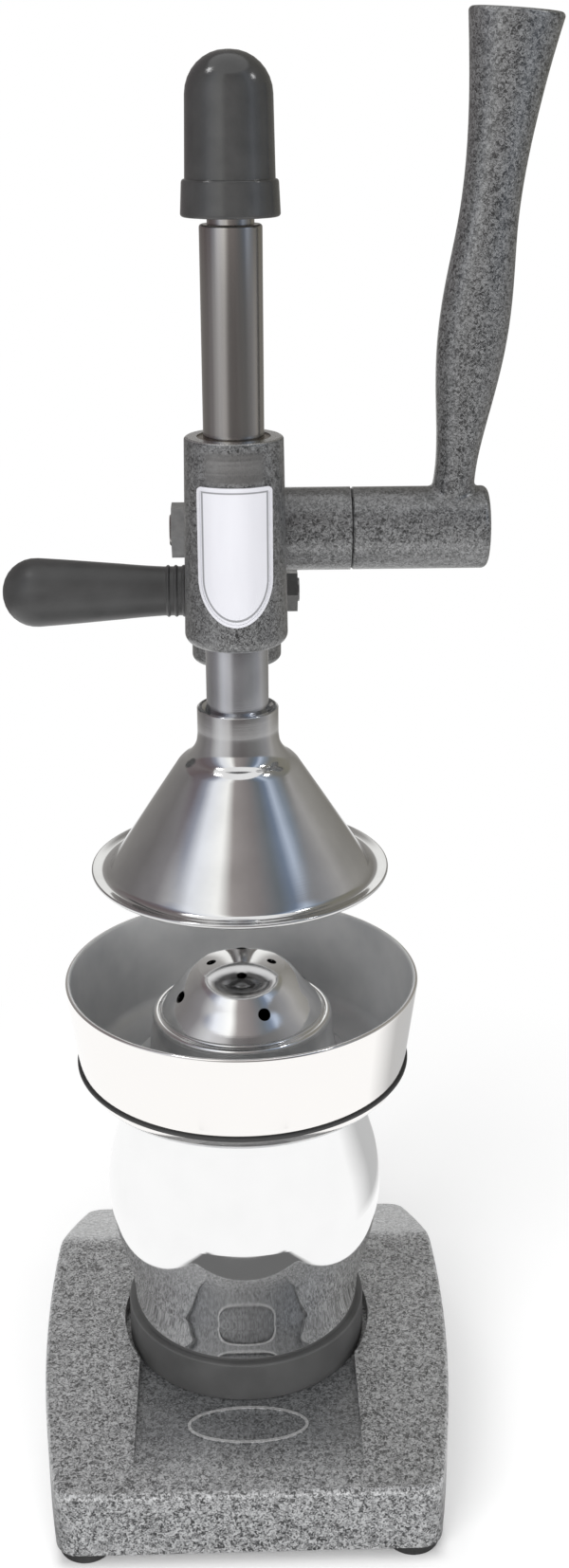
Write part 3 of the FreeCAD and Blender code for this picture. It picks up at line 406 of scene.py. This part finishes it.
handle_grip = turned("handle_grip", grip_outline, GRIP_LINE, LEFTWARD)
fit(handle_grip, grip_black, "stand", "grip")
dress(dark_steel, "grip_stud", "grip_washer", "grip_nut")

# Ram: a round ground steel bar that slides in the head's bushes. A rack is cut in its back, and a neck is
# turned under its cap.
ram_steel = ground_steel("ram_steel", grey(0.52, 0.04), roughness=0.15)
dress(ram_steel, "ram")

# Cap: a glossy black rubber thimble with a round top and a thick lip. It is pushed on the ram's upper end
# and stays there by its grip.
CAP_BORE = 14.02
cap_outline = [(0, 699.4), (18.75, 699.3, 17.6), (19.9, 647.2, 0.4), (21.3, 647.2, 1.5), (22.1, 631.5, 1.5),
               (CAP_BORE, 631.5), (CAP_BORE, 676), (0, 676)]
cap_rubber = rubber("cap_rubber", level=0.034, roughness=0.1)
fit(turned("top_cap", cap_outline, AXIS), cap_rubber, "ram", "ram_cap")


# Sleeve: a turned aluminium tube pushed on the ram's foot. Its lower end stands in the cone, and its upper
# end stops the ram under the head.
def turned_metal(name, colour, roughness, ring_depth, wear=0.12):
    """Turned metal: fine lathe rings round the axis, and a smear of handling that dulls it by the wear."""
    material, place = finish_of(name, Metallic=1.0)
    rings = place.clouds(60, stretch=(0.2, 0.2, 40))
    smear = place.clouds(45, 3.0).between(0.3, 0.7)
    tone = smear.blend(darker(colour, 1 - wear), colour)
    join(material, rings, ring_depth, Base_Color=tone, Roughness=roughness + 0.06 * smear)
    return material


sleeve_metal = turned_metal("sleeve_aluminium", (0.68, 0.69, 0.72, 1), 0.16, ring_depth=0.008 * MM)
sleeve_outline = [(14.02, 390), (15, 390), (15, 438, 0.8), (14.02, 438)]
fit(turned("ram_sleeve", sleeve_outline, AXIS), sleeve_metal, "ram", "stop_sleeve")

# Cone: the press cone, turned from aluminium and polished, open below, with a thick neck and a thin
# turned-up rim. A screw and washer draw it on the ram.
cone_outline = [(17.4, 406), (19.7, 406, 0.6), (19.7, 393), (20.68, 384.1, 5.6), (28.4, 379.6, 3.0),
                (65.79, 322.0, 3.5), (73.7, 323.9, 0.8), (73.8, 322.0, 0.8), (68.3, 319.4, 1.5),
                (63.4, 319.4, 2.2), (59.6, 325.2), (26.3, 377.5), (8.02, 377.5), (8.02, 390), (15.02, 390),
                (15.02, 403)]
cone_metal = turned_metal("cone_aluminium", grey(0.78), 0.07, ring_depth=0.006 * MM)
fit(turned("pressing_cone", cone_outline, AXIS), cone_metal, "ram", "press_cone")
dress(zinc, "cone_washer", "cone_screw")

# Lever: a cast hub and arm in the enamel, pinned on the gear's shaft. The shaft is steel, keyed to the
# gear and held on the left by a washer and nut.
LEVER_DARK = grey(0.012, -0.02)
LEVER_SILVER = grey(0.18, -0.01)
lever_enamel, _, lever_lump = hammertone("lever_hammertone", CASTING_LUMPS)
lever_tone = lever_lump.blend(LEVER_DARK, LEVER_SILVER)
join(lever_enamel, lever_lump, LUMP_RISE, Base_Color=lever_tone,
     Roughness=ENAMEL_ROUGH - LUMP_SHINE * lever_lump)
dress(lever_enamel, "lever")
dress(ram_steel, "pinion_gear", "gear_key", "pinion_shaft", "lever_pin")
dress(dark_steel, "shaft_washer", "shaft_nut")

# Pot: spun from sheet steel and mirror polished, with a belly and a straight foot. The foot stands in a
# black rubber ring, which drops into the base's seat.
pot_steel = turned_metal("pot_steel", grey(0.95), 0.025, ring_depth=0.002 * MM, wear=0.03)
pot_outline = [(0, 48), (60.4, 48, 2), (60.4, 67.7), (60.8, 67.7), (60.8, 83.4, 7), (72.3, 129.4, 11.4),
               (72.3, 153.7, 12.8), (57, 205, 0.8), (55.2, 205, 0.8), (70.5, 153.7, 12.8),
               (70.5, 129.4, 11.4), (59, 83.4, 7), (58.6, 69.5, 2), (58.6, 49.8, 2), (0, 49.8)]
fit(turned("spun_pot", pot_outline, AXIS), pot_steel, "pot", "juice_pot")
ring_rubber = rubber("ring_rubber", level=0.05, roughness=0.4)
ring_outline = [(50, 45), (64, 45, 1), (64, 67.5, 1.2), (60.42, 67.5), (60.42, 48), (50, 48)]
fit(turned("seat_ring", ring_outline, AXIS), ring_rubber, "pot", "pot_ring")

# Bowl: turned aluminium, polished outside and satin inside, with a rolled rim. Its skirt enters the pot's
# mouth, and a thin rubber band sits round its lower edge.
bowl_outline = [(46, 205.1), (52, 205.1), (52, 198, 0.5), (54.4, 198, 0.5), (54.4, 205.1), (76.6, 205.4, 5),
                (82.6, 210.6, 4), (84.3, 215), (84.3, 217.7), (90, 262.2, 1.2), (87.4, 262.2, 1.2),
                (81.7, 220.7, 4), (79.6, 213.2, 2.5), (75.3, 209.2, 2.5), (68, 207.8, 2), (46, 207.8)]
BOWL_BRIGHT = grey(0.95, 0.02)
BOWL_SATIN = grey(0.56, -0.015)
BOWL_UNDERSIDE = 206.0 * MM
WALL_LOW = 217.7 * MM
WALL_MIDDLE = 83.0 * MM
WALL_SLOPE = 5.7 / 44.5
WALL_BLUR = 0.3 * MM
bowl_metal, bowl_place = finish_of("bowl_aluminium", Metallic=1.0)
bowl_r = bowl_place.part(0).hypot(bowl_place.part(1))
bowl_z = bowl_place.part(2)
inside = (WALL_MIDDLE + (bowl_z - WALL_LOW) * WALL_SLOPE - bowl_r).between(-WALL_BLUR, WALL_BLUR)
inside = inside * bowl_z.between(BOWL_UNDERSIDE, BOWL_UNDERSIDE + MM)
bowl_rings = bowl_place.clouds(60, stretch=(0.2, 0.2, 50))
bowl_smear = bowl_place.clouds(40, 3.0).between(0.3, 0.7)
bowl_tone = (inside * (0.7 + 0.3 * bowl_smear)).blend(BOWL_BRIGHT, BOWL_SATIN)
join(bowl_metal, bowl_rings * (0.2 + 0.8 * inside), 0.01 * MM, Base_Color=bowl_tone,
     Roughness=0.07 + inside * (0.26 + 0.06 * bowl_smear), Metallic=1 - 0.55 * inside)
fit(turned("turned_bowl", bowl_outline, AXIS), bowl_metal, "bowl", "juice_bowl")
band_outline = [(84.32, 215.2), (85.5, 215.3, 0.8), (85.5, 217.4, 0.8), (84.32, 217.5)]
fit(turned("edge_band", band_outline, AXIS), foot_rubber, "bowl", "bowl_band")

# Strainer: a dome pressed from aluminium sheet and polished, with drain holes. It stands loose on the
# bowl's floor.
strainer_metal = turned_metal("strainer_aluminium", grey(0.92), 0.08, ring_depth=0.006 * MM)
dress(strainer_metal, "strainer")

# Camera: a short telephoto a little above the press, looking down on it and a touch to the right.
# Its place is given from the ram's axis at table level.
CAMERA_PLACE = Vector((0, -0.8179, 0.681))
CAMERA_PITCH = math.radians(21.107)
CAMERA_YAW = math.radians(1.57)
CAMERA_ROLL = math.radians(0.281)
SENSOR_MM = 36
LENS_MM = 40.98
camera_data = bpy.data.cameras.new("camera")
camera_data.sensor_width = SENSOR_MM
camera_data.lens = LENS_MM
camera = bpy.data.objects.new("camera", camera_data)
bpy.context.scene.collection.objects.link(camera)
stand = Matrix.Translation(AXIS + CAMERA_PLACE)
yaw = Matrix.Rotation(-CAMERA_YAW, 4, "Z")
tilt = Matrix.Rotation(math.pi / 2 - CAMERA_PITCH, 4, "X")
roll = Matrix.Rotation(-CAMERA_ROLL, 4, "Z")
camera.matrix_world = stand @ yaw @ tilt @ roll
bpy.context.scene.camera = camera
bpy.context.scene.view_settings.view_transform = "Standard"


# Studio: a pale floor that runs out into white under soft lamps and a pale sky. The floor's glow is taken
# away under the base, a painted shadow there. Polished metal also sees a dark card on it in front of the
# base, and a greyer floor behind on the right.
def bare_material(name):
    """Material without a shader; gives the material and its coordinates."""
    material, place = finish_of(name)
    material.node_tree.nodes.remove(material.node_tree.nodes["Principled BSDF"])
    return material, place


def show(material, surface):
    """Makes this shader the material's surface."""
    tree = material.node_tree
    tree.links.new(surface.socket, tree.nodes["Material Output"].inputs["Surface"])


def set_piece(name, shape, material):
    """Part of the set, not of the object."""
    mesh = bpy.data.meshes.new(name)
    shape.to_mesh(mesh)
    shape.free()
    mesh.materials.append(material)
    piece = bpy.data.objects.new(name, mesh)
    bpy.context.scene.collection.objects.link(piece)
    return piece


def mirrored(tree):
    """1 for rays that left a polished or clear surface, 0 for others."""
    rays = tree.nodes.new("ShaderNodeLightPath")
    return Value(tree, rays.outputs["Is Glossy Ray"]).most(Value(tree, rays.outputs["Is Transmission Ray"]))


FLOOR_GREY = grey(0.86)
FLOOR_REACH = 4.0
FLOOR_NEAR = 0.2
FLOOR_FAR = 0.5
FLOOR_LIFT = 0.26
UNDER_HALF_X = 0.1
UNDER_HALF_Y = 0.132
UNDER_BLUR = 0.007
CARD_GREY = grey(0.05)
CARD_SHARE = 0.9
CARD_HALF = 0.13
CARD_FRONT = -0.25
CARD_BLUR = 0.012
SHADED_SHARE = 0.5
SHADED_BEARINGS = (92, 118, 150, 172)
SHADED_R = (0.24, 0.3)
sheet = bmesh.new()
bmesh.ops.create_grid(sheet, x_segments=1, y_segments=1, size=FLOOR_REACH)
paper, paper_place = bare_material("floor_paper")
paper_x = paper_place.part(0)
paper_y = paper_place.part(1)
paper_r = paper_x.hypot(paper_y)
plain = paper_place.node("ShaderNodeBsdfDiffuse", {}, {"Color": FLOOR_GREY})
# Painted shadow: the floor's glow is taken away under the base's footprint.
under_base_shadow = abs(paper_x).between(UNDER_HALF_X, UNDER_HALF_X - UNDER_BLUR)
under_base_shadow = under_base_shadow * abs(paper_y).between(UNDER_HALF_Y, UNDER_HALF_Y - UNDER_BLUR)
lift = paper_place.node("ShaderNodeEmission", {}, {"Color": grey(1), "Strength": FLOOR_LIFT * (1 - under_base_shadow)})
near = paper_place.node("ShaderNodeAddShader", {}, {0: plain, 1: lift})
polished = mirrored(paper.node_tree)
card = abs(paper_x).between(CARD_HALF + CARD_BLUR, CARD_HALF)
card = card * paper_y.between(CARD_FRONT - CARD_BLUR, CARD_FRONT) * paper_y.between(0, CARD_FRONT / 2)
round_press = paper_x.math("ARCTAN2", paper_x, 0 - paper_y) * (180 / math.pi)
shaded = round_press.between(*SHADED_BEARINGS[:2]) * round_press.between(*SHADED_BEARINGS[:1:-1])
shaded = shaded * paper_r.between(*SHADED_R)
shade = polished * (CARD_SHARE * card + SHADED_SHARE * shaded)
white_tone = shade.blend(grey(1), CARD_GREY)
white = paper_place.node("ShaderNodeEmission", {}, {"Color": white_tone, "Strength": 1.0})
far = paper_r.between(FLOOR_NEAR, FLOOR_FAR).most(polished)
show(paper, paper_place.node("ShaderNodeMixShader", {}, {0: far, 1: near, 2: white}))
set_piece("floor", sheet, paper)

AMBIENT = 0.5
world = bpy.data.worlds.new("studio")
world.use_nodes = True
bpy.context.scene.world = world
sky = world.node_tree
camera_ray = Value(sky, sky.nodes.new("ShaderNodeLightPath").outputs["Is Camera Ray"])
seen = camera_ray.most(mirrored(sky))
sky.nodes["Background"].inputs["Color"].default_value = grey(1)
sky.links.new((AMBIENT + (1 - AMBIENT) * seen).socket, sky.nodes["Background"].inputs["Strength"])
LAMP_AIM = AXIS + Vector((0, 0, 0.35))


def softbox(name, place, power, size, sparkles=False):
    """Square lamp aimed at the middle of the press. Only a sparkling one is mirrored in the metal."""
    lamp = bpy.data.lights.new(name, "AREA")
    lamp.energy = power
    lamp.size = size
    holder = bpy.data.objects.new(name, lamp)
    aim = LAMP_AIM - Vector(place)
    holder.matrix_world = Matrix.Translation(place) @ aim.to_track_quat("-Z", "Y").to_matrix().to_4x4()
    holder.visible_camera = False
    holder.visible_glossy = sparkles
    bpy.context.scene.collection.objects.link(holder)


softbox("key_lamp", (-0.8, -1.4, 1.1), power=15, size=0.9)
softbox("front_lamp", (0.15, -1.5, 0.3), power=10, size=1.0)
softbox("low_lamp", (0, -0.8, 0.12), power=2.0, size=0.5)
softbox("fill_lamp", (1.1, -0.9, 0.1), power=7, size=0.9)
softbox("rear_lamp", (-0.4, 1.3, 1.3), power=7, size=0.9)
softbox("left_sparkle", (-0.32, -0.05, 1.08), power=0.3, size=0.08, sparkles=True)
softbox("right_sparkle", (0.39, -0.07, 0.98), power=0.2, size=0.07, sparkles=True)

# Reflection screen: a dim curved screen round the press, above the height of the pot, that only polished
# surfaces see: dark sides, a bright gap left of the middle and a cooler one on the right. Its lower part,
# which the upright ram and sleeve mirror, has bands of its own, and fades out into white at its low edge.
SCREEN_R = 0.45
SCREEN_STEPS = 96
SCREEN_LOW = 0.205
SCREEN_HIGH = 1.3
SCREEN_FADE = 0.045
LOW_BANDS_END = 0.56
HIGH_BANDS_START = 0.61
LOW_BANDS = [
    (-180, (1.05, 1.05, 1.03)),
    (-172, (0.95, 0.95, 0.93)),
    (-167, (0.38, 0.37, 0.36)),
    (-148, (0.28, 0.27, 0.26)),
    (-106, (0.2, 0.19, 0.19)),
    (-80, (0.26, 0.25, 0.26)),
    (-62, (0.55, 0.55, 0.56)),
    (-50, (0.66, 0.66, 0.68)),
    (-26, (0.56, 0.55, 0.55)),
    (-13, (0.2, 0.19, 0.19)),
    (10, (0.15, 0.14, 0.14)),
    (48, (0.19, 0.19, 0.19)),
    (80, (0.3, 0.3, 0.31)),
    (98, (0.42, 0.41, 0.4)),
    (112, (0.34, 0.33, 0.31)),
    (150, (0.24, 0.23, 0.21)),
    (167, (0.38, 0.37, 0.36)),
    (172, (0.95, 0.95, 0.93)),
    (180, (1.05, 1.05, 1.03)),
]
HIGH_BANDS = [
    (-180, (0.3, 0.29, 0.28)),
    (-150, (0.24, 0.22, 0.22)),
    (-106, (0.16, 0.13, 0.135)),
    (-79, (0.19, 0.17, 0.19)),
    (-64, (0.34, 0.36, 0.43)),
    (-49, (0.95, 0.98, 1.05)),
    (-22, (1.2, 1.2, 1.17)),
    (-9, (0.38, 0.35, 0.34)),
    (18, (0.26, 0.24, 0.24)),
    (37, (0.17, 0.19, 0.21)),
    (50, (0.19, 0.24, 0.33)),
    (60, (0.56, 0.64, 0.78)),
    (72, (0.28, 0.33, 0.4)),
    (90, (0.22, 0.22, 0.21)),
    (120, (0.24, 0.23, 0.19)),
    (180, (0.26, 0.25, 0.24)),
]
strip = bmesh.new()
strip_low = strip.verts.new(AXIS + Vector((0, SCREEN_R, SCREEN_LOW)))
strip_high = strip.verts.new(AXIS + Vector((0, SCREEN_R, SCREEN_HIGH)))
strip_edge = strip.edges.new((strip_low, strip_high))
bmesh.ops.spin(strip, geom=[strip_low, strip_high, strip_edge], cent=AXIS, axis=(0, 0, 1),
               angle=math.tau, steps=SCREEN_STEPS, use_merge=True)
glow, on_screen = bare_material("screen_bands")
bearing = on_screen.math("ARCTAN2", on_screen.part(0), 0 - on_screen.part(1)) / math.tau + 0.5
height = on_screen.part(2)


def ring_of(bands):
    """Colours that follow the bearing, from behind on the left round to behind on the right."""
    stops = [(degrees / 360 + 0.5, colour) for degrees, colour in bands]
    return bearing.node("ShaderNodeValToRGB", {"stops": stops}, {0: bearing})


screen_tone = height.between(LOW_BANDS_END, HIGH_BANDS_START).blend(ring_of(LOW_BANDS), ring_of(HIGH_BANDS))
screen_tone = height.between(SCREEN_LOW, SCREEN_LOW + SCREEN_FADE).blend(grey(1), screen_tone)
show(glow, on_screen.node("ShaderNodeEmission", {}, {"Color": screen_tone, "Strength": 1.0}))
screen = set_piece("reflection_screen", strip, glow)
screen.visible_camera = False
screen.visible_diffuse = False
screen.visible_shadow = False
